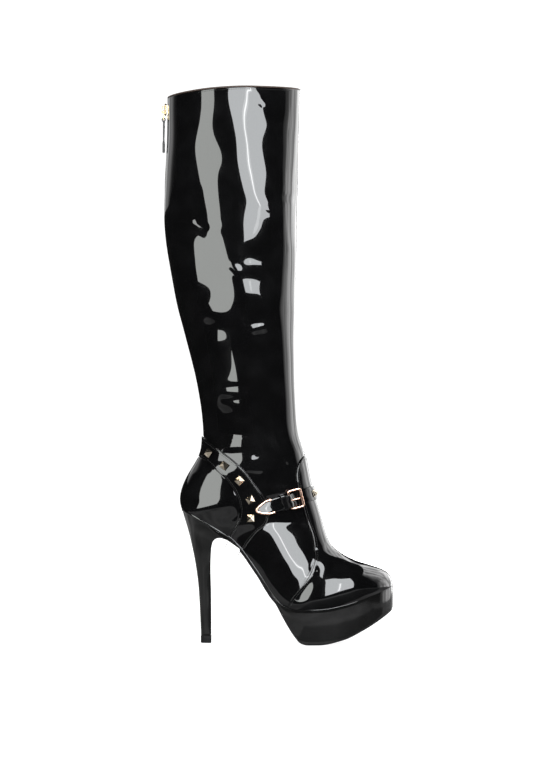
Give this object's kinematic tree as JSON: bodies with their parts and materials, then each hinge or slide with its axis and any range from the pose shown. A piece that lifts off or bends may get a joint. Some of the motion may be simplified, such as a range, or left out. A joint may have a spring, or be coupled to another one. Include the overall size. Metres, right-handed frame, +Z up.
{
  "type": "platform boot",
  "caption": "Knee-high black patent leather platform boot for the right foot, with a stiletto heel, a studded ankle band, a buckled instep strap and a back zip.",
  "frame": {"origin": "middle of the boot's overall length and width, on the floor plane", "axes": "+Z up, +X towards the toe, -Y towards the outer side of the right foot"},
  "size_m": [0.243, 0.097, 0.58],
  "materials": {
    "patent_leather": "glossy",
    "patent_cover": "glossy",
    "sole_rubber": "matte",
    "insole_leather": "matte",
    "rose_metal": "polished",
    "pale_gold": "polished",
    "zip_gold": "polished",
    "zip_tape": "matte"
  },
  "bodies": {
    "boot": {"upper": "patent_leather", "vamp": "patent_leather", "heel_counter": "patent_leather", "ankle_harness": "patent_leather", "instep_strap": "patent_leather", "strap_tip": "rose_metal", "strap_keeper": "patent_leather", "buckle_frame": "rose_metal", "buckle_prong": "rose_metal", "stud_outer_1": "pale_gold", "stud_outer_2": "pale_gold", "stud_outer_3": "pale_gold", "stud_outer_4": "pale_gold", "stud_outer_5": "pale_gold", "stud_inner_1": "pale_gold", "stud_inner_2": "pale_gold", "stud_inner_3": "pale_gold", "stud_inner_4": "pale_gold", "stud_inner_5": "pale_gold", "stud_instep_1": "pale_gold", "stud_instep_2": "pale_gold", "stud_instep_3": "pale_gold", "stud_instep_4": "pale_gold", "stud_instep_5": "pale_gold", "platform_sole": "patent_cover", "heel": "patent_cover", "outsole": "sole_rubber", "top_lift": "sole_rubber", "insole": "insole_leather", "zip": "zip_tape", "zip_slider": "zip_gold"},
    "zip_pull": {"zip_pull_ring": "zip_gold", "zip_pull_tab": "patent_leather"}
  },
  "joints": [
    {"name": "zip_pull_swing", "type": "hinge", "parent": "boot", "child": "zip_pull", "pos_m": [-0.11931, 0, 0.55811], "axis": [0, 1, 0], "range_deg": [0, 165]}
  ]
}
